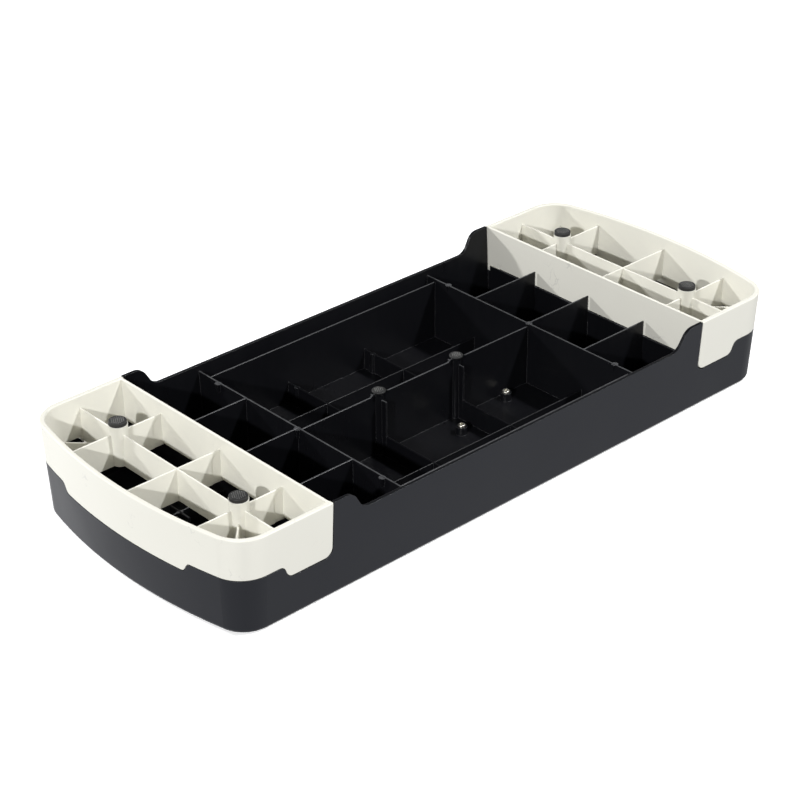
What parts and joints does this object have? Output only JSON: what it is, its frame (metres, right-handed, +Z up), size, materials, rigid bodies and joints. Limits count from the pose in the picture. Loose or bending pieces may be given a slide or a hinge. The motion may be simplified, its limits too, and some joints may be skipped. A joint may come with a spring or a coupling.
{
  "type": "step platform",
  "caption": "Low two-height step platform shown upside down: black ribbed deck with two white lift-off ribbed legs and rubber feet.",
  "frame": {"origin": "centre of the footprint, on the surface that it lies on", "axes": "+X along the length, +Y across the width, +Z up from the tread towards the feet"},
  "size_m": [0.6658, 0.28, 0.0915],
  "materials": {
    "deck_plastic": "satin black moulded plastic with a fine grain outside",
    "leg_plastic": "satin warm white moulded plastic",
    "pad_rubber": "dark grey rubber with a fine stud texture",
    "mat_rubber": "matt charcoal rubber with raised grip pattern",
    "screw_steel": "zinc plated"
  },
  "bodies": {
    "deck": {"deck": "deck_plastic", "tread_mat": "mat_rubber", "tread_screws": "screw_steel", "left_centre_pad": "pad_rubber", "right_centre_pad": "pad_rubber"},
    "left_leg": {"left_leg": "leg_plastic", "left_front_foot_pad": "pad_rubber", "left_back_foot_pad": "pad_rubber"},
    "right_leg": {"right_leg": "leg_plastic", "right_front_foot_pad": "pad_rubber", "right_back_foot_pad": "pad_rubber"}
  },
  "joints": [
    {"name": "left_leg_lift", "type": "slide", "parent": "deck", "child": "left_leg", "axis": [0, 0, 1], "range_m": [0, 0.052]},
    {"name": "right_leg_lift", "type": "slide", "parent": "deck", "child": "right_leg", "axis": [0, 0, 1], "range_m": [0, 0.052]}
  ]
}
